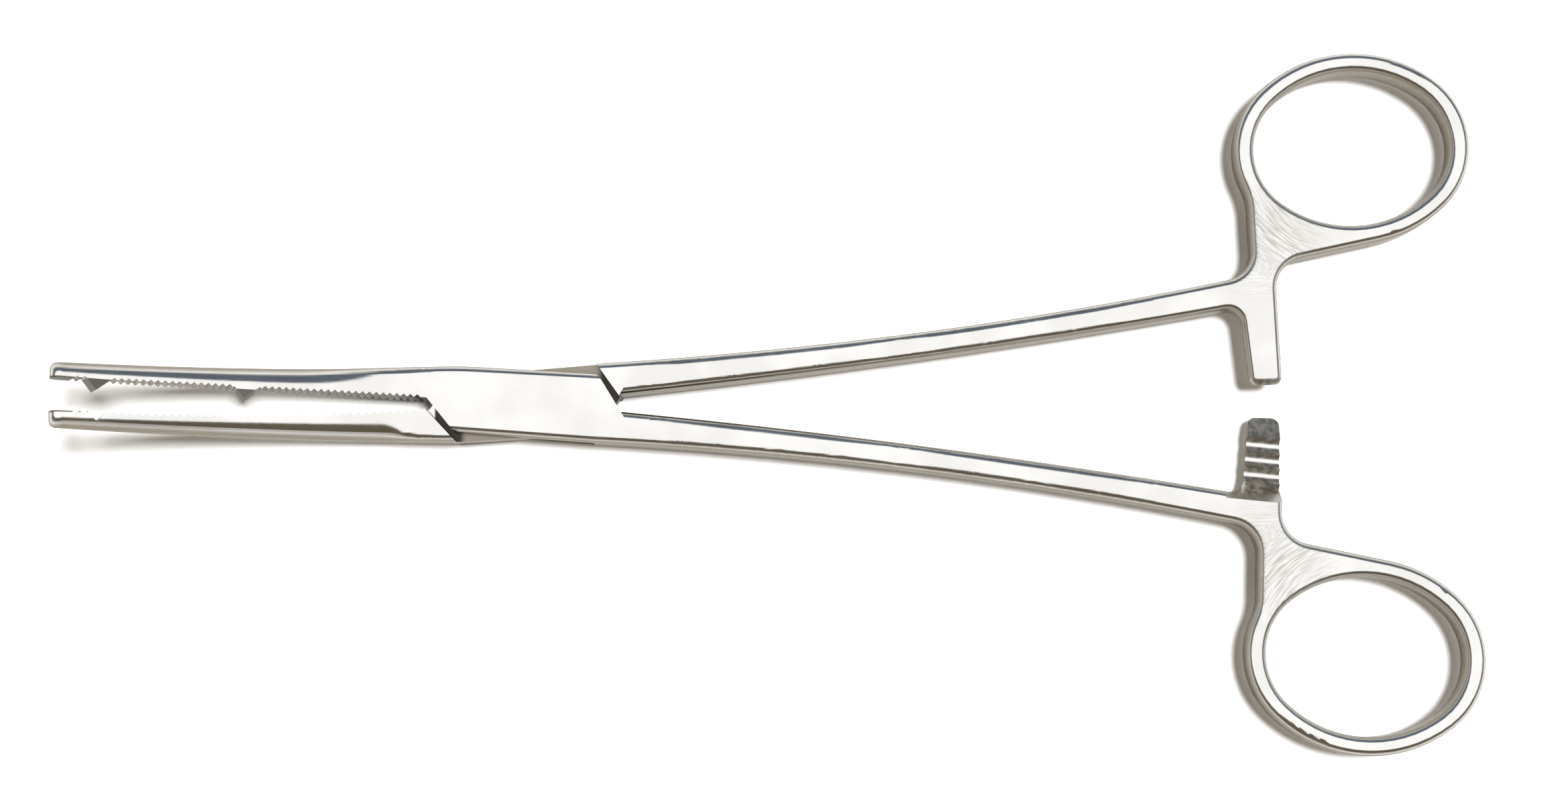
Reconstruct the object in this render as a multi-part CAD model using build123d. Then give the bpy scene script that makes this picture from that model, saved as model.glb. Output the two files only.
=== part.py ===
from build123d import *
import math
import os

# Hysterectomy forceps with a box lock, curved jaws, two spurs and a ratchet.
# Lengths are in millimetres. The lock pin stands on Z at the origin, the rings point to +X,
# and the underside of the box lies on Z = 0. Each half is drawn in the pose it has when the
# jaws are shut, with the jaws meeting on the XZ plane, and is then swung open about the pin.
# The female half is drawn as it lies, and the male half as its mirror image in the XZ plane.

# Pose
open_angle = 2.0            # degrees that each half swings from shut to the pose shown

# Box
box_thickness = 6.6
plate_thickness = 2.2       # the plate above the tongue, and the one below
shoulder_gap = 0.7          # from a shoulder to the end of the plate beside it, when shut
slot_play = 0.06            # above and below the tongue
slot_end_play = 0.25        # at the ends of the tongue, when shut
edge_round = 1.1            # rounding of the long edges
box_bend = 60.0             # large radius where the sides of the box run into shank and jaw

# Corners of the box in plan
jaw_shoulder = (-15.1, 0.3)
jaw_heel = (-10.9, -4.55)
shank_shoulder = (13.2, -0.85)
shank_heel = (9.6, 4.65)
box_back = (-10.5, 5.17)
box_front = (9.3, -5.45)

# Lock pin
pin_radius = 1.9
pin_play = 0.04             # between the pin and the hole in the tongue

# Jaws
jaw_reach = 65.3            # from the pin to the top corner of the tip, before rounding
jaw_bend_start = -14.0      # where the jaws leave the plane of the box
jaw_top_radius = 108.0
jaw_tip_height = 3.4        # square to the curve
jaw_tip_round = 1.4         # of the tip in side view
jaw_tip_width = 2.35
jaw_tip_gap = 0.05          # from the middle plane to the face at the tip, when shut
jaw_bow = 0.55              # from the middle plane to the face at mid-length

# Serrations
groove_depth = 0.38
groove_land = 0.16          # flat left between two grooves
groove_pitch_female = 1.02
groove_pitch_male = 1.17
groove_margin = 1.4         # plain face at the tip and at the root

# Spurs of the female jaw and their recesses in the male jaw
spur_places = (60.9, 41.6)  # from the pin
spur_length = 3.2
spur_steep_share = 0.4      # share of the length on the steep side, towards the tip
spur_height = 1.5
spur_play = 0.2

# Shanks
shank_end = 100.0
shank_inner_middle = (0.56 * shank_end, -4.35)
shank_inner_end = (shank_end, -9.5)
shank_outer_middle = (0.55 * shank_end, -8.05)
shank_outer_end = (shank_end, -13.8)
taper_start = 17.0          # where the thickness begins to come down from that of the box
taper_rest = 8.0            # even thickness left before the end of the shank

# Rings
ring_end_radius = 11.2      # of the band's centre line at the ring's two ends
ring_end_shift = 4.75       # from the centre of that arc to the ring's centre
ring_side_bow = 1.75        # how much farther out the sides run than the radius of the ends
ring_band = 2.75
ring_near_side = 18.9       # from the middle plane to the ring
ring_past_neck = 1.7        # how far the ring stands out past the neck's outer side
ring_thickness = 4.8        # along Z, also of the neck
ring_turn = -2.0            # degrees that the long axis leans
neck_ring_round = 8.0       # where the neck's outer side runs into the ring

# Ratchet
arm_ahead = 5.4             # from the end of the shank to the near side of the arm
arm_width = 4.6
arm_flare = 0.8             # how much the near side spreads from the tip to the root
arm_tip = 1.5               # how far an arm passes the middle plane when shut
arm_root = -11.2            # where the thin part of the arm begins
arm_corner = 1.2            # at the arm's tip
arm_fillet = 2.2            # between arm and shank
neck_width = 3.2            # from the far side of the arm to the neck's outer side
neck_fillet = 4.5           # between shank and neck
throat_round = 4.6          # between arm and ring
throat_slope = 10.0         # degrees that the edge from throat to ring slopes in plan
tooth_count = 4
tooth_pitch = 2.22
tooth_height = 0.65
tooth_clearance = 0.1       # between the two rows of teeth
tooth_start = 3.1           # from the arm's tip to the first tooth
tooth_lean = -4.0           # degrees that the ridges lean in plan
arm_end_height = 2.0        # top of the arm at its tip, below the slope to the first tooth

middle = box_thickness / 2
taper_end = shank_end - taper_rest
arm_near, arm_far = shank_end + arm_ahead, shank_end + arm_ahead + arm_width
neck_edge = arm_far - neck_width
ring_half_length = ring_end_radius + ring_end_shift
ring_half_width = ring_end_radius + ring_side_bow
ring_centre = (
    neck_edge - ring_past_neck + ring_band / 2 + ring_half_length,
    -ring_near_side - ring_band / 2 - ring_half_width,
)
past_tip = -jaw_reach - box_thickness

# Curve of the jaws in side view
jaw_run = jaw_reach + jaw_bend_start
jaw_tip_angle = math.asin(jaw_run / jaw_top_radius)
tip_top = (-jaw_reach, box_thickness + jaw_top_radius * (1 - math.cos(jaw_tip_angle)))
tip_under = (
    tip_top[0] - jaw_tip_height * math.sin(jaw_tip_angle),
    tip_top[1] - jaw_tip_height * math.cos(jaw_tip_angle),
)
jaw_under_radius = ((jaw_bend_start - tip_under[0]) ** 2 + tip_under[1] ** 2) / (2 * tip_under[1])
jaw_middle_radius = (jaw_under_radius + jaw_top_radius) / 2


def run_on(tangent, end, x):
    """The point at x on the straight line that carries on from the end of an arc."""
    return (x, end[1] + tangent.Y / tangent.X * (x - end[0]))


def jaw_face_arc():
    """The mating face in plan, bowed so that the tips meet first, and run on past the tip."""
    tip = (-jaw_reach, jaw_tip_gap)
    mid = ((jaw_shoulder[0] - jaw_reach) / 2, jaw_bow)
    tangent = ThreePointArc(tip, mid, jaw_shoulder) % 0
    return ThreePointArc(run_on(tangent, tip, past_tip), mid, jaw_shoulder)


def jaw_face(x):
    """Distance of the mating face from the middle plane."""
    start, mid, end = jaw_face_arc() @ 0, jaw_face_arc() @ 0.5, jaw_face_arc() @ 1
    share = (x - start.X) / (end.X - start.X)
    rise = mid.Y - (start.Y + end.Y) / 2
    return start.Y + (end.Y - start.Y) * share + 4 * rise * share * (1 - share)


def side_radius():
    """Radius of the two long arcs of the ring's centre line, which meet its end arcs smoothly."""
    beyond = ring_half_width**2 - ring_end_radius**2
    return (ring_end_shift**2 + beyond) / (2 * ring_side_bow)


def ring_face(offset):
    """The oval of four tangent arcs at a distance outside the ring's centre line, in its place."""
    long_radius = side_radius()
    drop = long_radius - ring_half_width
    reach = long_radius - ring_end_radius
    end = ring_end_radius + offset
    x, y = ring_end_shift * (1 + end / reach), end * drop / reach
    length, width = ring_half_length + offset, ring_half_width + offset
    face = make_face([
        ThreePointArc((x, -y), (length, 0), (x, y)),
        ThreePointArc((x, y), (0, width), (-x, y)),
        ThreePointArc((-x, y), (-length, 0), (-x, -y)),
        ThreePointArc((-x, -y), (0, -width), (x, -y)),
    ])
    return Pos(*ring_centre) * Rot(0, 0, ring_turn) * face


def throat_face():
    """Fills the corner between arm and ring up to an arc and a line that touches the ring."""
    lean, slope = math.radians(ring_turn), math.radians(throat_slope)
    drop = side_radius() - ring_half_width
    hub = (ring_centre[0] + drop * math.sin(lean), ring_centre[1] - drop * math.cos(lean))
    reach = side_radius() + ring_band / 2
    on_ring = (hub[0] + reach * math.sin(slope), hub[1] + reach * math.cos(slope))
    x = arm_far + throat_round
    y = on_ring[1] + (on_ring[0] - x) * math.tan(slope) + throat_round / math.cos(slope)
    touch = (x - throat_round * math.sin(slope), y - throat_round * math.cos(slope))
    low = ring_centre[1]
    corners = [(arm_far, y), (x, y), touch, on_ring, (on_ring[0], low), (arm_far, low)]
    return make_face(Polyline(*corners, close=True)) - Pos(x, y) * Circle(throat_round)


def nearest(shape, point):
    """The corner of a plan that lies nearest to a point."""
    return shape.vertices().sort_by_distance(Vector(*point))[0]


def body_plan():
    """Plan of one half: jaw, box, shank, ratchet arm, neck and finger ring."""
    face = jaw_face_arc()
    back_slope = (box_back[1] - jaw_tip_gap - jaw_tip_width) / (jaw_reach + box_back[0])
    back_tip = (past_tip, box_back[1] - back_slope * (box_back[0] - past_tip))
    outer = ThreePointArc(box_front, shank_outer_middle, shank_outer_end)
    inner = ThreePointArc(shank_inner_end, shank_inner_middle, shank_shoulder)
    elbow = run_on(outer % 1, shank_outer_end, neck_edge)
    armpit = run_on(inner % 0, shank_inner_end, arm_near - arm_flare)
    in_ring = ring_centre[1]
    bar = make_face([
        face,
        Line(jaw_shoulder, jaw_heel),
        Line(jaw_heel, box_front),
        outer,
        Line(shank_outer_end, elbow),
        Line(elbow, (neck_edge, in_ring)),
        Line((neck_edge, in_ring), (arm_far, in_ring)),
        Line((arm_far, in_ring), (arm_far, arm_tip)),
        Line((arm_far, arm_tip), (arm_near, arm_tip)),
        Line((arm_near, arm_tip), armpit),
        Line(armpit, shank_inner_end),
        inner,
        Line(shank_shoulder, shank_heel),
        Line(shank_heel, box_back),
        Line(box_back, back_tip),
        Line(back_tip, face @ 0),
    ])
    bar = fillet([nearest(bar, box_front), nearest(bar, box_back)], box_bend)
    bar = fillet(nearest(bar, elbow), neck_fillet)
    bar = fillet(nearest(bar, armpit), arm_fillet)
    arm_corners = [nearest(bar, (x, arm_tip)) for x in (arm_near, arm_far)]
    bar = fillet(arm_corners, arm_corner)
    plan = bar + ring_face(ring_band / 2) + throat_face()
    plan = fillet(nearest(plan, (neck_edge, in_ring)), neck_ring_round)
    return plan - ring_face(-ring_band / 2)


def side_profile():
    """Side view of one half: thin at the rings, full at the box, curving up along the jaw."""
    low, high = middle - ring_thickness / 2, middle + ring_thickness / 2
    top = box_thickness
    far = ring_centre[0] + 2 * ring_half_length
    taper_middle = (taper_start + taper_end) / 2
    face = make_face([
        Line((far, low), (taper_end, low)),
        TangentArc((taper_end, low), (taper_middle, low / 2), tangent=(-1, 0)),
        TangentArc((taper_start, 0), (taper_middle, low / 2), tangent=(1, 0)),
        Line((taper_start, 0), (jaw_bend_start, 0)),
        TangentArc((jaw_bend_start, 0), tip_under, tangent=(-1, 0)),
        Line(tip_under, tip_top),
        TangentArc((jaw_bend_start, top), tip_top, tangent=(-1, 0)),
        Line((jaw_bend_start, top), (taper_start, top)),
        TangentArc((taper_start, top), (taper_middle, top - low / 2), tangent=(1, 0)),
        TangentArc((taper_end, high), (taper_middle, top - low / 2), tangent=(-1, 0)),
        Line((taper_end, high), (far, high)),
        Line((far, high), (far, low)),
    ])
    face = fillet([nearest(face, tip_under), nearest(face, tip_top)], jaw_tip_round)
    return extrude(Plane.XZ * face, amount=2 * -ring_centre[1], both=True)


def on_line(point, start, end):
    """True for a point on the line through two others, seen from above."""
    dx, dy = end[0] - start[0], end[1] - start[1]
    off = abs((point.X - start[0]) * dy - (point.Y - start[1]) * dx) / math.hypot(dx, dy)
    return off < 0.02 and min(start[0], end[0]) < point.X < max(start[0], end[0])


def is_rounded(edge):
    """True for the long edges of the jaw's back, the box, shank, arm and ring."""
    start, centre, end = edge @ 0, edge @ 0.5, edge @ 1
    upright = math.hypot(end.X - start.X, end.Y - start.Y) < 0.01
    across = abs(end.X - start.X) < 0.01 and centre.X < arm_near - arm_fillet
    on_face = centre.X < jaw_shoulder[0] and abs(centre.Y - jaw_face(centre.X)) < 0.05
    shoulders = [(jaw_shoulder, jaw_heel), (shank_shoulder, shank_heel)]
    on_shoulder = any(on_line(centre, *shoulder) for shoulder in shoulders)
    return not (upright or across or on_face or on_shoulder)


def blank():
    """One half as forged, before the box lock, the ratchet and the jaw faces are cut."""
    solid = extrude(body_plan(), amount=tip_top[1] + box_thickness) & side_profile()
    return fillet(solid.edges().filter_by(is_rounded), edge_round)


def other_line(start, end, y):
    """X at a given Y on the other half's line through two points."""
    return start[0] - (end[0] - start[0]) * (y + start[1]) / (end[1] - start[1])


def crossing(play, low, high):
    """Block over the crossing of the halves, longer by play than the distance between shoulders."""
    side = 1.5 * max(box_back[1], -box_front[1])
    plan = make_face(Polyline(
        (other_line(jaw_shoulder, jaw_heel, -side) - play, -side),
        (other_line(shank_shoulder, shank_heel, -side) + play, -side),
        (other_line(shank_shoulder, shank_heel, side) + play, side),
        (other_line(jaw_shoulder, jaw_heel, side) - play, side),
        close=True,
    ))
    return Pos(0, 0, low) * extrude(plan, amount=high - low)


def bore(radius):
    """The cylinder of the lock pin or of its hole."""
    return Pos(0, 0, middle) * Cylinder(radius, box_thickness)


def ratchet_cut():
    """What comes off the arm of the female half above its teeth, with a slope at either end."""
    crest = middle - tooth_clearance / 2
    floor = crest - tooth_height
    top = box_thickness + 1
    first = arm_tip - tooth_start
    last = first - (tooth_count - 1) * tooth_pitch
    foot = (last - tooth_pitch / 3, floor)
    root_slope = (arm_root - foot[0]) / (middle + ring_thickness / 2 - floor)
    root_top = (foot[0] + root_slope * (top - floor), top)
    end = arm_tip + tooth_start
    end_height = crest + (arm_end_height - crest) * (end - first) / (arm_tip - first)
    outline = [
        ThreePointArc((y, crest), (y - tooth_pitch / 2, floor), (y - tooth_pitch, crest))
        for y in [first - i * tooth_pitch for i in range(tooth_count - 1)]
    ]
    slopes = [(last, crest), foot, root_top, (end, top), (end, end_height), (first, crest)]
    outline += Polyline(*slopes).edges()
    start, stop = arm_near - 1.5 * arm_fillet, arm_far + throat_round
    cut = Pos(start, 0, 0) * extrude(Plane.YZ * make_face(outline), amount=stop - start)
    pivot = ((arm_near + arm_far) / 2, (arm_tip + arm_root) / 2)
    return Pos(*pivot) * Rot(0, 0, tooth_lean) * Pos(-pivot[0], -pivot[1]) * cut


def along_jaw(angle, outline):
    """A bar across the jaw's side, square to its curve, with a given outline in plan."""
    bar = extrude(make_face(Polyline(*outline, close=True)), amount=2 * box_thickness)
    bar = Pos(0, 0, -jaw_middle_radius - box_thickness) * bar
    return Pos(jaw_bend_start, 0, middle + jaw_middle_radius) * Rot(0, angle, 0) * bar


def jaw_x(angle):
    """X of the middle of the jaw at an angle along its curve."""
    return jaw_bend_start - jaw_middle_radius * math.sin(math.radians(angle))


def jaw_angle(reach):
    """Angle along the jaw's curve at a distance from the pin."""
    return math.degrees(math.asin((reach + jaw_bend_start) / jaw_middle_radius))


def serrations(pitch):
    """Row of V-grooves across the mating face of a jaw, from near its root to near its tip."""
    first, last = jaw_angle(-jaw_shoulder[0] + groove_margin), jaw_angle(jaw_reach - groove_margin)
    step = math.degrees(pitch / jaw_middle_radius)
    half_width = (pitch - groove_land) / 2
    grooves = []
    for i in range(int((last - first) / step) + 1):
        angle = first + i * step
        y = jaw_face(jaw_x(angle))
        wide = half_width * (1 + 0.5 / groove_depth)
        grooves.append(along_jaw(angle, [(-wide, y - 0.5), (wide, y - 0.5), (0, y + groove_depth)]))
    return grooves


def spur(reach, play, base):
    """Wedge of one spur, wider all round by play, down to a base line; its point is towards -Y."""
    angle = jaw_angle(reach)
    point = jaw_face(-reach) - spur_height
    steep = spur_length * spur_steep_share
    share = (base - point) / spur_height
    return along_jaw(angle, [
        (-steep * share - play, base),
        ((spur_length - steep) * share + play, base),
        (0, point - play),
    ])


def female_half():
    """The half with the slotted box, the spurs and the ratchet teeth that look up."""
    low, high = plate_thickness - slot_play, box_thickness - plate_thickness + slot_play
    solid = blank() - crossing(slot_end_play, low, high) - bore(pin_radius) - ratchet_cut()
    solid -= serrations(groove_pitch_female)
    side = side_profile()
    for reach in spur_places:
        solid += spur(reach, 0, jaw_face(-reach) + 2 * groove_depth) & side
    return Rot(0, 0, -open_angle) * solid


def male_half():
    """The half with the tongue, the recesses for the spurs and the teeth that look down."""
    solid = blank() - bore(pin_radius + pin_play)
    solid -= crossing(shoulder_gap, -1, plate_thickness)
    solid -= crossing(shoulder_gap, box_thickness - plate_thickness, box_thickness + 1)
    solid -= Pos(0, 0, box_thickness) * mirror(ratchet_cut(), about=Plane.XY)
    solid -= serrations(groove_pitch_male)
    solid -= [mirror(spur(reach, spur_play, 2.0), about=Plane.XZ) for reach in spur_places]
    return Rot(0, 0, open_angle) * mirror(solid, about=Plane.XZ)


os.makedirs("parts", exist_ok=True)
for name, solid in [
    ("female_half", female_half()),
    ("male_half", male_half()),
    ("lock_pin", bore(pin_radius)),
]:
    export_step(solid, f"parts/{name}.step")
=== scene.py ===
import math
from functools import partial, reduce

import bmesh
import bpy
import numpy as np
from mathutils import Euler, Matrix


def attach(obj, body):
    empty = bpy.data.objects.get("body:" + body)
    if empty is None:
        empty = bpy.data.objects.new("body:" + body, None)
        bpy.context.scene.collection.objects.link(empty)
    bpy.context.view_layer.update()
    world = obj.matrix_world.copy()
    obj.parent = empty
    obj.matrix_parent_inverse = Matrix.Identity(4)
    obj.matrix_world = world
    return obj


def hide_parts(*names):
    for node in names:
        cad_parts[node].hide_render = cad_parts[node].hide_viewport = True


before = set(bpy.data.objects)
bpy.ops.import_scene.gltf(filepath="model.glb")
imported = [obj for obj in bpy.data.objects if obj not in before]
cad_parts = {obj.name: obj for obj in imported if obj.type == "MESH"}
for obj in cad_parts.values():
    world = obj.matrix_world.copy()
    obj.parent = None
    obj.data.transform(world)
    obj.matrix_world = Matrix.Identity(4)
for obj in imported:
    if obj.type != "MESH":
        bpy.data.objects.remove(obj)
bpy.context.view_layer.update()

# Curved forceps of ground stainless steel on a white table, photographed from above.
# Lengths are in metres. The lock pin stands on Z at the origin and the rings point to +X.

scene = bpy.context.scene
mm = 0.001
jawSlope = math.tan(math.radians(2))  # each jaw stands open by this, beside the middle plane


def linearColour(code):  # sRGB hex such as "E6E4E0" to the linear colour that Blender mixes
    parts = np.array([int(code[i:i + 2], 16) for i in (0, 2, 4)]) / 255
    linear = np.where(parts <= 0.04045, parts / 12.92, ((parts + 0.055) / 1.055) ** 2.4)
    return (*linear.tolist(), 1.0)


def linearColours(codes):
    return {name: linearColour(code) for name, code in codes.items()}


# Settings that many nodes share.
times = {"operation": "MULTIPLY"}
larger = {"operation": "MAXIMUM"}
unsigned = {"operation": "ABSOLUTE"}
length = {"operation": "LENGTH"}
eased = {"interpolation_type": "SMOOTHSTEP"}
blend = {"data_type": "RGBA"}


def addNode(tree, kind, settings, inputs):
    # Inputs come by name, or as a list in the order of the sockets in use. One that is a
    # socket is linked, and one that is a node is linked from its first output in use.
    node = tree.nodes.new("ShaderNode" + kind)
    for name, value in settings.items():
        setattr(node, name, value)
    sockets = [socket for socket in node.inputs if socket.enabled]
    if isinstance(inputs, dict):
        named = {socket.name: socket for socket in sockets}
        sockets, inputs = [named[name] for name in inputs], inputs.values()
    for socket, value in zip(sockets, inputs):
        if isinstance(value, bpy.types.Node):
            value = next(output for output in value.outputs if output.enabled)
        if isinstance(value, bpy.types.NodeSocket):
            tree.links.new(value, socket)
        else:
            socket.default_value = value
    return node


def newMaterial(name):
    material = bpy.data.materials.new(name)
    material.use_nodes = True
    material.node_tree.nodes.clear()
    return material, partial(addNode, material.node_tree)


def zone(add, *rows):  # product of smooth steps, each with its value, where it is 0 and where 1
    steps = [add("MapRange", eased, row) for row in rows]
    return reduce(lambda first, second: add("Math", times, [first, second]), steps)


# A pair of numbers below says where a smooth step is 0 and where it is 1.
steel = {
    "colours": {
        "light": "F3F2EF",        # ground stainless steel, a little warm
        "deep": "EAE8E4",
        "wheelMark": "D0CCC4",
        "side": "ADA598",         # painted shade: sides are made duller and browner than the top, for the darker room and shadowed table they reflect
        "sideShadeDeep": "8C8578",
        "shoulder": "47433D",     # painted shade in the gaps at the shoulders of the box
        "milledLight": "CDC9C1",
        "milledDark": "9C978F",
        "spur": "78736B",         # painted shade on the spurs, for the dark reflection of their tilted tops
    },
    "smooth": 0.11,               # roughness of a well finished stretch
    "satin": 0.19,
    "wornRough": 0.3,             # what the wheel's marks add at most
    "sideRough": 0.34,
    "milledRough": 0.46,
    "grainWidth": 0.22 * mm,      # real grain is 0.05 mm, drawn coarser so that it shows
    "grainLength": 3.0 * mm,
    "grainDepth": 0.0022 * mm,
    "grainSpread": (0.3, 0.7),    # the noise's values between which it turns from smooth to satin
    "waveSize": 7 * mm,           # slow waves of a face ground by hand
    "waveDepth": 0.035 * mm,
    "toneSize": 9 * mm,           # clouds left by grinding by hand
    "milledSpeck": 0.9 * mm,      # chatter left by the cutter in teeth and serrations
    "speckled": (0.35, 0.65),
    "worn": (0.42, 0.62),
    "sideSlope": (0.74, 0.45),    # upward share of the normal, from top to side
    "ringCentre": (121.2 * mm, 37.5 * mm, 0.0),
    "ringRadius": 15 * mm,
    "ringZone": (24 * mm, 20 * mm),             # grain turns round the ring within this distance
    "neckCentre": (108 * mm, 24 * mm, 2.4 * mm),
    "neckReach": (12 * mm, 3 * mm),             # marks of the wheel round the neck
    "serratedTurn": (-0.5, -0.75),              # outward share of a serrated face's normal
    "serratedAlong": (-13.5 * mm, -14.5 * mm),
    "armFrom": (104.5 * mm, 104.8 * mm),        # ratchet arms, along X and across
    "armTo": (111.2 * mm, 110.9 * mm),
    "armAcross": (14.5 * mm, 13.5 * mm),
    "toothSlope": (0.12, 0.3),
    "spurAlong": (-30 * mm, -31 * mm),
    "spurPast": (0.35 * mm, 0.25 * mm),         # from the line of the jaw's opening
    "shoulderFrom": (7.5 * mm, 7.8 * mm),       # shoulders of the box, along X and across
    "shoulderTo": (16.5 * mm, 13.5 * mm),
    "shoulderAcross": (4.6 * mm, 4.3 * mm),
    "shoulderTurn": (0.35, 0.55),
    "floorFrom": (0.8 * mm, 1.1 * mm),          # the tongue's faces, by height and along X,
    "floorTo": (5.7 * mm, 5.4 * mm),            # which get the painted side shade
    "floorAlong": (14.3 * mm, 14 * mm),
    "floorShadeFrom": (9.5 * mm, 10.5 * mm),         # and painted shade that darkens them between box and shoulder
}


def grainPlace(add, folded):  # along the shank, and round the ring near the ring
    apart = add("VectorMath", {"operation": "SUBTRACT"}, [folded, steel["ringCentre"]])
    x, y, z = add("SeparateXYZ", {}, [apart]).outputs
    radius = add("VectorMath", length, [add("CombineXYZ", {}, [x, y, 0.0])])
    angle = add("Math", {"operation": "ARCTAN2"}, [y, x])
    along = add("Math", times, [angle, steel["ringRadius"]])
    around = add("CombineXYZ", {}, [along, radius, z])
    inRing = zone(add, [radius, *steel["ringZone"]])
    return add("Mix", {"data_type": "VECTOR"}, [inRing, folded, around])


def milledZones(add, x, y, side, normalY):  # serrated faces, flanks of the teeth, and the spurs, which also get painted shade
    outward = add("Math", times, [normalY, add("Math", {"operation": "SIGN"}, [y])])
    serrated = zone(add, [outward, *steel["serratedTurn"]], [x, *steel["serratedAlong"]])
    steep = add("Math", unsigned, [normalY])
    teeth = zone(add, [x, *steel["armFrom"]], [x, *steel["armTo"]],
                 [side, *steel["armAcross"]], [steep, *steel["toothSlope"]])
    jawLine = add("Math", times, [x, -jawSlope])
    pastFace = add("Math", {"operation": "SUBTRACT"}, [side, jawLine])
    spurs = zone(add, [pastFace, *steel["spurPast"]], [x, *steel["spurAlong"]])
    milled = add("Math", larger, [add("Math", larger, [serrated, teeth]), spurs])
    return milled, spurs


def lockZones(add, x, z, side, normalX, level):  # painted shade on the shoulders of the box and on the tongue's faces
    along, facing = add("Math", unsigned, [x]), add("Math", unsigned, [normalX])
    shoulder = zone(add, [along, *steel["shoulderFrom"]], [along, *steel["shoulderTo"]],
                    [side, *steel["shoulderAcross"]], [facing, *steel["shoulderTurn"]])
    floor = zone(add, [z, *steel["floorFrom"]], [z, *steel["floorTo"]],
                 [along, *steel["floorAlong"]])
    # painted shade: the tongue's faces are darkened between box and shoulder
    beside = add("Math", times, [zone(add, [along, *steel["floorShadeFrom"]]), level])
    tongueShade = add("Math", times, [floor, beside])
    return floor, add("Math", larger, [shoulder, tongueShade])


def makeForgedSteel():
    # Stainless steel, forged, ground along its length and then polished to satin: wide
    # mirror-like faces with a soft grain, slow waves, and duller milled teeth.
    # Painted shade darkens the sides, the box's shoulders, the tongue's faces and the spurs.
    material, add = newMaterial("satinGroundStainlessSteel")
    tint = linearColours(steel["colours"])
    coordinates = add("TexCoord", {}, []).outputs
    place = coordinates["Object"]
    x, y, z = add("SeparateXYZ", {}, [place]).outputs
    side = add("Math", unsigned, [y])
    folded = add("CombineXYZ", {}, [x, side, z])  # both halves on one side of the middle plane
    normalX, normalY, normalZ = add("SeparateXYZ", {}, [coordinates["Normal"]]).outputs
    level = add("Math", unsigned, [normalZ])

    narrow = 1 / steel["grainWidth"]
    stretched = add("Mapping", {}, {"Vector": grainPlace(add, folded),
                                    "Scale": (1 / steel["grainLength"], narrow, narrow)})
    grain = add("TexNoise", {}, {"Vector": stretched, "Scale": 1.0, "Detail": 3.0})
    tone, wave, speck = [
        add("TexNoise", {}, {"Vector": place, "Scale": 1 / steel[size], "Detail": detail})
        for size, detail in (("toneSize", 2.0), ("waveSize", 1.0), ("milledSpeck", 2.0))]

    fromNeck = add("VectorMath", {"operation": "DISTANCE"}, [folded, steel["neckCentre"]])
    nearNeck = zone(add, [fromNeck, *steel["neckReach"]])
    worn = zone(add, [fromNeck, *steel["neckReach"]], [grain, *steel["worn"]])
    milled, spurs = milledZones(add, x, y, side, normalY)
    floor, paintedLockShade = lockZones(add, x, z, side, normalX, level)
    # painted shade: faces by the upward share of their normal, and the tongue's faces, get the
    # darker side colour
    sideShadeMask = add("Math", larger, [zone(add, [level, *steel["sideSlope"]]), floor])

    clouds = zone(add, [tone, *steel["speckled"]])
    chatter = zone(add, [speck, *steel["speckled"]])
    top = add("Mix", blend, [clouds, tint["light"], tint["deep"]])
    top = add("Mix", blend, [worn, top, tint["wheelMark"]])
    # painted shade: the sides get a darker, browner colour than the top
    shadedFlank = add("Mix", blend, [grain, tint["side"], tint["sideShadeDeep"]])
    # painted shade: the box's shoulders and the tongue's faces between box and shoulder are made
    # dark
    shadedFlank = add("Mix", blend, [paintedLockShade, shadedFlank, tint["shoulder"]])
    cut = add("Mix", blend, [chatter, tint["milledLight"], tint["milledDark"]])
    # painted shade: the spurs are given a dark colour
    cut = add("Mix", blend, [spurs, cut, tint["spur"]])
    colour = add("Mix", blend, [milled, add("Mix", blend, [sideShadeMask, top, shadedFlank]), cut])

    ground = add("MapRange", {}, [grain, *steel["grainSpread"], steel["smooth"], steel["satin"]])
    marked = add("Math", times, [nearNeck, add("Math", times, [grain, steel["wornRough"]])])
    roughness = add("Mix", {}, [sideShadeMask, add("Math", {}, [ground, marked]), steel["sideRough"]])
    roughness = add("Mix", {}, [milled, roughness, steel["milledRough"]])

    waves = add("Bump", {}, {"Strength": 1.0, "Distance": steel["waveDepth"], "Height": wave})
    bump = add("Bump", {}, {"Strength": 1.0, "Distance": steel["grainDepth"], "Height": grain,
                            "Normal": waves})
    shader = add("BsdfPrincipled", {}, {
        "Base Color": colour, "Metallic": 1.0, "Roughness": roughness, "Normal": bump})
    add("OutputMaterial", {}, {"Surface": shader})
    return material


pin = {
    "colours": {"light": "F3F2EF", "deep": "EAE8E4"},  # ground with the box, so it hardly shows
    "toneSize": 2.5 * mm,
    "turnWidth": 0.2 * mm,        # fine rings left by the end mill, drawn coarser
    "turnDepth": 0.0012 * mm,
    "turnSpread": (0.3, 0.7),
    "smooth": 0.12,
    "satin": 0.19,
}


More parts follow.
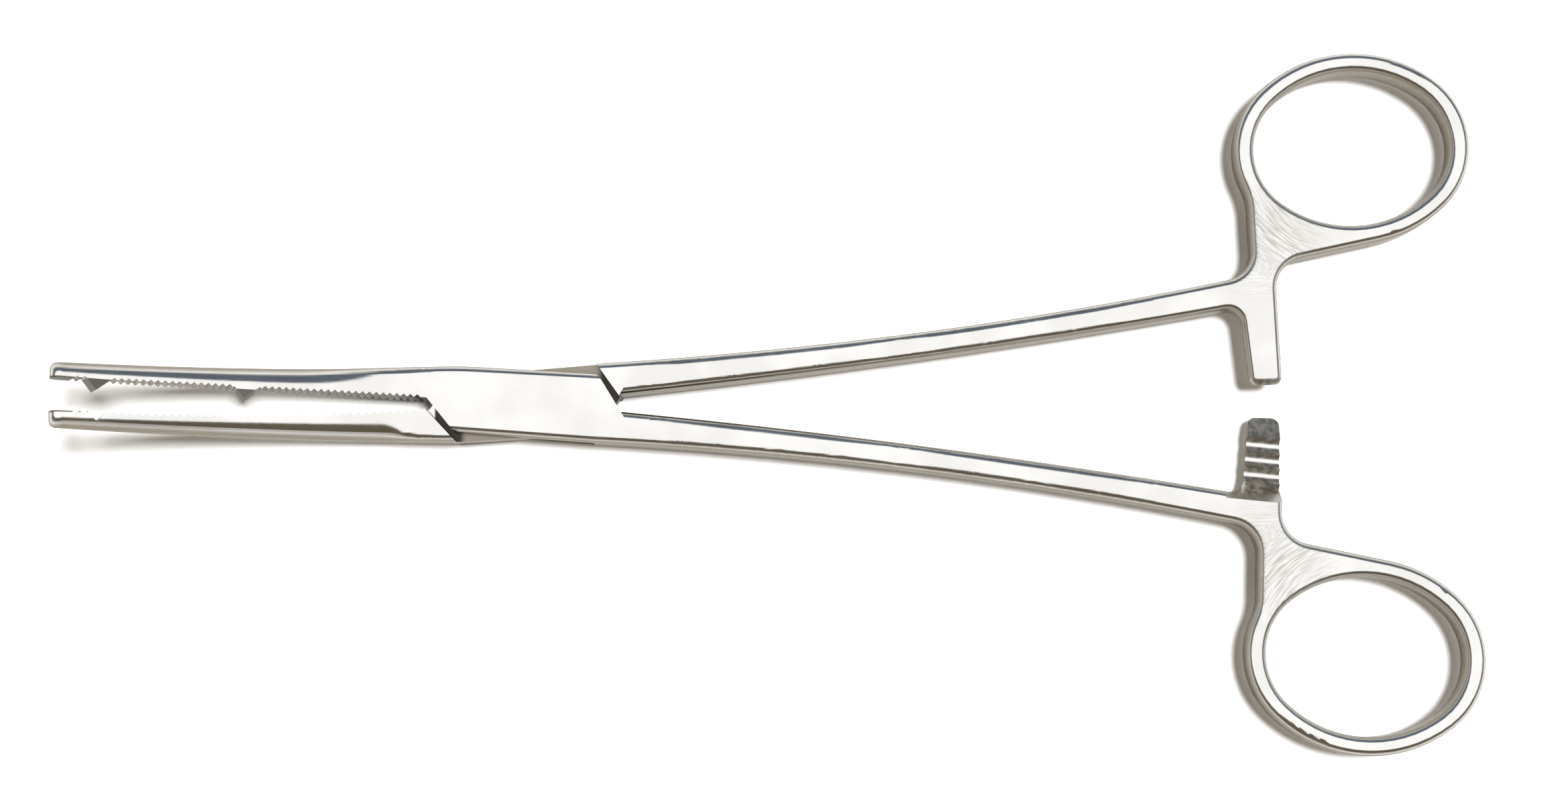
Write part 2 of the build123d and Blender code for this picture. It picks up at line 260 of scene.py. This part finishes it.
def makePinSteel():
    # Stainless steel wire, riveted and ground flush: faint rings round its middle.
    material, add = newMaterial("flushGroundStainlessPin")
    tint = linearColours(pin["colours"])
    place = add("TexCoord", {}, []).outputs["Object"]
    x, y, z = add("SeparateXYZ", {}, [place]).outputs
    radius = add("VectorMath", length, [add("CombineXYZ", {}, [x, y, 0.0])])
    rings = add("CombineXYZ", {}, [radius, 0.0, 0.0])
    turned = add("TexNoise", {}, {
        "Vector": rings, "Scale": 1 / pin["turnWidth"], "Detail": 2.0})
    tone = add("TexNoise", {}, {"Vector": place, "Scale": 1 / pin["toneSize"], "Detail": 2.0})
    colour = add("Mix", blend, [tone, tint["light"], tint["deep"]])
    roughness = add("MapRange", {}, [turned, *pin["turnSpread"], pin["smooth"], pin["satin"]])
    bump = add("Bump", {}, {"Strength": 1.0, "Distance": pin["turnDepth"], "Height": turned})
    shader = add("BsdfPrincipled", {}, {
        "Base Color": colour, "Metallic": 1.0, "Roughness": roughness, "Normal": bump})
    add("OutputMaterial", {}, {"Surface": shader})
    return material


forgedSteel = makeForgedSteel()
pinSteel = makePinSteel()
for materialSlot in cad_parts["lock_pin"].material_slots:
    materialSlot.material = pinSteel
print("steel: finished the pin")

# The two halves are copies of the CAD ones with the backs of their jaws ground half-round.
jaw = {
    "start": -16 * mm,            # where the back begins to turn round
    "face": 0.3 * mm,             # the serrated face, beyond the line of the opening
    "flat": 0.12,                 # share of the width that stays flat beside the face
    "curl": 0.95,                 # 1 would bring the back to a knife edge
    "thinnest": 1 * mm,
    "weld": 0.0001 * mm,
    "longest": 0.9 * mm,          # edge of the finer mesh
    "rounds": 3,                  # of halving the edges that are longer
    "station": 1 * mm,            # places along X at which the jaw is measured
    "slice": 0.8 * mm,
    "tip": 2 * mm,                # left out, because the tip is rounded off
    "sideDegree": 3,
    "middleDegree": 4,
    "probe": 0.02 * mm,           # step by which the slopes are taken
}
halves = {                        # beyond "full" the back is fully round
    "female_half": {"piece": "groundFemaleHalf", "body": "female", "full": -34 * mm},
    "male_half": {"piece": "groundMaleHalf", "body": "male", "full": -22 * mm},
}


def finerCopy(node, name):  # a merged copy that keeps the normals of the CAD faces
    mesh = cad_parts[node].data.copy()
    mesh.name = name
    normals = np.empty(len(mesh.loops) * 3, dtype=np.float32)
    mesh.corner_normals.foreach_get("vector", normals)
    mesh.attributes.new("cadNormal", "FLOAT_VECTOR", "CORNER").data.foreach_set("vector", normals)
    work = bmesh.new()
    work.from_mesh(mesh)
    bmesh.ops.remove_doubles(work, verts=work.verts, dist=jaw["weld"])
    for _ in range(jaw["rounds"]):
        tooLong = [edge for edge in work.edges if edge.calc_length() > jaw["longest"]
                   and max(vert.co.x for vert in edge.verts) < jaw["start"] + jaw["station"]]
        bmesh.ops.subdivide_edges(work, edges=tooLong, cuts=1)
        bmesh.ops.triangulate(work, faces=work.faces)
    work.to_mesh(mesh)
    work.free()
    return mesh


def jawLines(points):  # smooth lines of the jaw's outer side and of its middle height along X
    onJaw = points[points[:, 0] < jaw["start"]]
    step = jaw["station"]
    stations = np.arange(onJaw[:, 0].min() + jaw["tip"], jaw["start"] - step, step)
    near = [onJaw[np.abs(onJaw[:, 0] - x) < jaw["slice"]] for x in stations]
    outer = [np.abs(group[:, 1]).max() for group in near]
    middle = [(group[:, 2].max() + group[:, 2].min()) / 2 for group in near]
    return (np.polyfit(stations, outer, jaw["sideDegree"]),
            np.polyfit(stations, middle, jaw["middleDegree"]))


def halfRound(points, lines, full):
    # Height above or below the jaw's middle is multiplied by the square root of one minus
    # the square of the way from the flat part to the back, so the section becomes an ellipse.
    x, y, z = points.T
    outer, middle = [np.polyval(line, x) for line in lines]
    inner = jaw["face"] - x * jawSlope
    across = (np.abs(y) - inner) / np.maximum(outer - inner, jaw["thinnest"])
    way = np.clip((across - jaw["flat"]) / (1 - jaw["flat"]), 0, 1) * jaw["curl"]
    along = np.clip((jaw["start"] - x) / (jaw["start"] - full), 0, 1)
    fade = along * along * (3 - 2 * along)
    share = 1 - fade * (1 - np.sqrt(1 - way * way))
    return middle + (z - middle) * share


def turnedNormals(points, normals, lines, full):  # by the slopes of the new height
    slopes = []
    for axis in np.eye(3) * jaw["probe"]:
        change = halfRound(points + axis, lines, full) - halfRound(points - axis, lines, full)
        slopes.append(change / (2 * jaw["probe"]))
    alongX, alongY, alongZ = slopes
    tilt = normals[:, 2] / alongZ
    turned = np.column_stack([normals[:, 0] - alongX * tilt, normals[:, 1] - alongY * tilt, tilt])
    return turned / np.linalg.norm(turned, axis=1, keepdims=True)


def readMesh(collection, name, width, kind):  # a whole array of one value of a mesh
    values = np.empty(len(collection) * width, dtype=kind)
    collection.foreach_get(name, values)
    return values.reshape(-1, width)


def groundHalf(node, setup):
    mesh = finerCopy(node, setup["piece"])
    points = readMesh(mesh.vertices, "co", 3, float)
    normals = readMesh(mesh.attributes["cadNormal"].data, "vector", 3, float)
    corners = readMesh(mesh.loops, "vertex_index", 1, np.int32)[:, 0]
    lines = jawLines(points)
    onJaw = points[:, 0] < jaw["start"]
    turned = turnedNormals(points[corners], normals, lines, setup["full"])
    normals = np.where(onJaw[corners][:, None], turned, normals)
    points[onJaw, 2] = halfRound(points[onJaw], lines, setup["full"])
    mesh.vertices.foreach_set("co", points.ravel())
    mesh.attributes.remove(mesh.attributes["cadNormal"])
    mesh.shade_smooth()
    mesh.normals_split_custom_set(normals.tolist())
    mesh.materials.clear()
    mesh.materials.append(forgedSteel)
    piece = bpy.data.objects.new(setup["piece"], mesh)
    scene.collection.objects.link(piece)
    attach(piece, setup["body"])
    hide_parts(node)
    print(setup["piece"] + ":", len(mesh.polygons), "faces")


for node, setup in halves.items():
    groundHalf(node, setup)

table = {
    "size": 8.0,
    "below": 0.02 * mm,           # so that the steel's underside doesn't flicker with it
    "seen": 1.6,                  # straight, the table reads as plain white
    "mirrored": 1.0,              # and so it does in the steel
    "lit": "E4E4E2",
}
room = {
    "colours": {
        "coolWall": "606974",
        "warmWall": "625A4D",
        "horizon": "BDBAB4",
        "fill": "625C52",         # what the room gives to the shadows
    },
    "ceiling": 1.12,              # the pale light overhead that the flat faces show
    "ceilingReach": (1.25, 0.6),  # along X and Y, for one unit of height
    "ceilingMiddle": 0.05,        # along Y, away from the photographer
    "ceilingEdge": (1.2, 0.84),   # share of the reach, from dark to pale
    "lowest": 0.01,               # height taken for directions at or below the horizon
    "wallTurn": (-0.6, 0.6),      # along Y, from the warm wall to the cool one
    "wallRise": (0.2, 0.4),       # height of the direction, from horizon to wall
}
sun = {
    "from": (0.29, 0.09, 1.0),
    "strength": 2.8,
    "spread": 16.0,               # degrees, softness of the shadow's edge
}


def grey(value):
    return (value, value, value, 1.0)


def makeTable():
    half = table["size"] / 2
    corners = np.array([(-half, -half), (half, -half), (half, half), (-half, half)])
    verts = np.column_stack([corners, np.full(4, -table["below"])])
    mesh = bpy.data.meshes.new("whiteTable")
    mesh.from_pydata(verts.tolist(), [], [(0, 1, 2, 3)])
    floor = bpy.data.objects.new("whiteTable", mesh)
    scene.collection.objects.link(floor)
    # Matt white laminate, evenly lit, so it shows only the shadow.
    material, add = newMaterial("mattWhiteLaminate")
    rays = add("LightPath", {}, []).outputs
    through = add("Math", larger, [rays["Is Glossy Ray"], rays["Is Transmission Ray"]])
    colour = add("Mix", blend, [through, linearColour(table["lit"]), grey(table["mirrored"])])
    colour = add("Mix", blend, [rays["Is Camera Ray"], colour, grey(table["seen"])])
    add("OutputMaterial", {}, {"Surface": add("BsdfDiffuse", {}, {"Color": colour})})
    mesh.materials.append(material)


def makeRoom():
    # A direction over its height is a place on the ceiling, which is pale within its reach.
    world = bpy.data.worlds.new("paleRoom")
    scene.world = world
    world.use_nodes = True
    world.node_tree.nodes.clear()
    add = partial(addNode, world.node_tree)
    tint = linearColours(room["colours"])
    x, y, z = add("SeparateXYZ", {}, [add("TexCoord", {}, []).outputs["Generated"]]).outputs
    height = add("Math", larger, [z, room["lowest"]])
    reachX, reachY = room["ceilingReach"]
    offX, offY = [add("Math", {"operation": "DIVIDE"}, [part, height]) for part in (x, y)]
    offY = add("Math", {"operation": "SUBTRACT"}, [offY, room["ceilingMiddle"]])
    spotX = add("Math", {"operation": "DIVIDE"}, [offX, reachX])
    spotY = add("Math", {"operation": "DIVIDE"}, [offY, reachY])
    fromMiddle = add("VectorMath", length, [add("CombineXYZ", {}, [spotX, spotY, 0.0])])
    overhead = zone(add, [fromMiddle, *room["ceilingEdge"]])
    wall = add("Mix", blend, [
        zone(add, [y, *room["wallTurn"]]), tint["warmWall"], tint["coolWall"]])
    wall = add("Mix", blend, [zone(add, [z, *room["wallRise"]]), tint["horizon"], wall])
    mirrored = add("Mix", blend, [overhead, wall, grey(room["ceiling"])])
    rays = add("LightPath", {}, []).outputs
    white = add("Math", larger, [rays["Is Camera Ray"], rays["Is Transmission Ray"]])
    light = add("Mix", blend, [white, tint["fill"], grey(1.0)])
    light = add("Mix", blend, [rays["Is Glossy Ray"], light, mirrored])
    background = add("Background", {}, {"Color": light, "Strength": 1.0})
    add("OutputWorld", {}, {"Surface": background})


def makeSun():
    data = bpy.data.lights.new("windowLight", "SUN")
    data.energy = sun["strength"]
    data.angle = math.radians(sun["spread"])
    lamp = bpy.data.objects.new("windowLight", data)
    scene.collection.objects.link(lamp)
    across, up, high = sun["from"]
    lamp.rotation_euler = Euler((0.0, math.atan2(math.hypot(across, up), high),
                                 math.atan2(up, across)), "XYZ")
    lamp.visible_glossy = False   # the steel shows the room, not a spot


makeTable()
makeRoom()
makeSun()
print("stage: table, room and light")

camera = {
    "place": (0.037, -0.040, 0.3208),
    "turn": (5.076, 0.034, -0.277),  # degrees
    "lens": 49.92,
    "shiftY": 0.05,
    "near": 0.01,
    "far": 20.0,
}


def makeCamera():
    data = bpy.data.cameras.new("phoneAboveTable")
    eye = bpy.data.objects.new("phoneAboveTable", data)
    scene.collection.objects.link(eye)
    eye.location = camera["place"]
    eye.rotation_euler = Euler([math.radians(angle) for angle in camera["turn"]], "XYZ")
    data.lens, data.shift_y = camera["lens"], camera["shiftY"]
    data.clip_start, data.clip_end = camera["near"], camera["far"]
    scene.camera = eye


makeCamera()
scene.view_settings.view_transform = "Standard"
print("camera: set")
